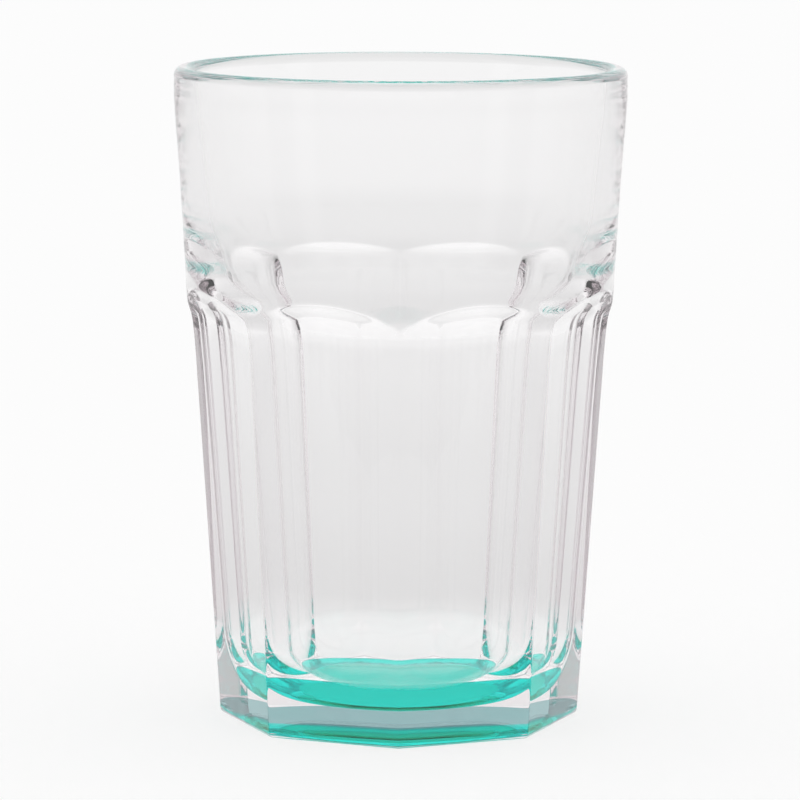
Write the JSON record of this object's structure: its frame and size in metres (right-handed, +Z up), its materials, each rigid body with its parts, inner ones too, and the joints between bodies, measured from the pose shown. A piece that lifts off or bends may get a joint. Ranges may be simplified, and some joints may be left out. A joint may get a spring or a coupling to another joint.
{
  "type": "faceted drinking glass",
  "caption": "Clear pressed drinking glass: round band at the lip, flat facets with arched tops below it, thick base with a translucent green coat in its hollow.",
  "frame": {"origin": "centre of the underside, in the plane of the standing ring", "axes": "+Z up along the axis of the glass; one corner between two facets points along -Y"},
  "size_m": [0.0834, 0.0834, 0.121],
  "materials": {
    "clear_glass": "clear, fire-polished",
    "green_coat": "translucent turquoise green lacquer"
  },
  "bodies": {
    "root": {"glass_body": "clear_glass", "colour_coat": "green_coat"}
  },
  "joints": []
}
